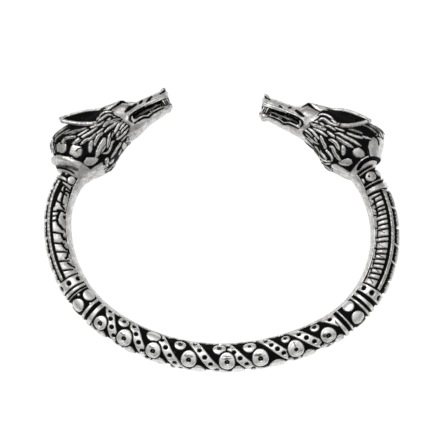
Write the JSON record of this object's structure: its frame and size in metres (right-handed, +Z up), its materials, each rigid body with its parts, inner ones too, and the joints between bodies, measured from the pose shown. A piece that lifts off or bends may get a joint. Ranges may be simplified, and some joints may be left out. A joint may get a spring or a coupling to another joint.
{
  "type": "arm ring",
  "caption": "Open cast silver arm ring with a wolf head at each end of a round bar that carries discs, slanting strips and ribs in relief.",
  "frame": {"origin": "middle of the ring's outer box, on the surface that the ring lies on", "axes": "+Z up through the wrist hollow, +Y towards the gap between the two heads, +X to the right when seen from above with the gap at the top"},
  "size_m": [0.0714, 0.0586, 0.0113],
  "materials": {
    "oxidised_silver": "cast silver, polished on the high relief and blackened in the recesses"
  },
  "bodies": {
    "root": {"arm_ring": "oxidised_silver"}
  },
  "joints": []
}
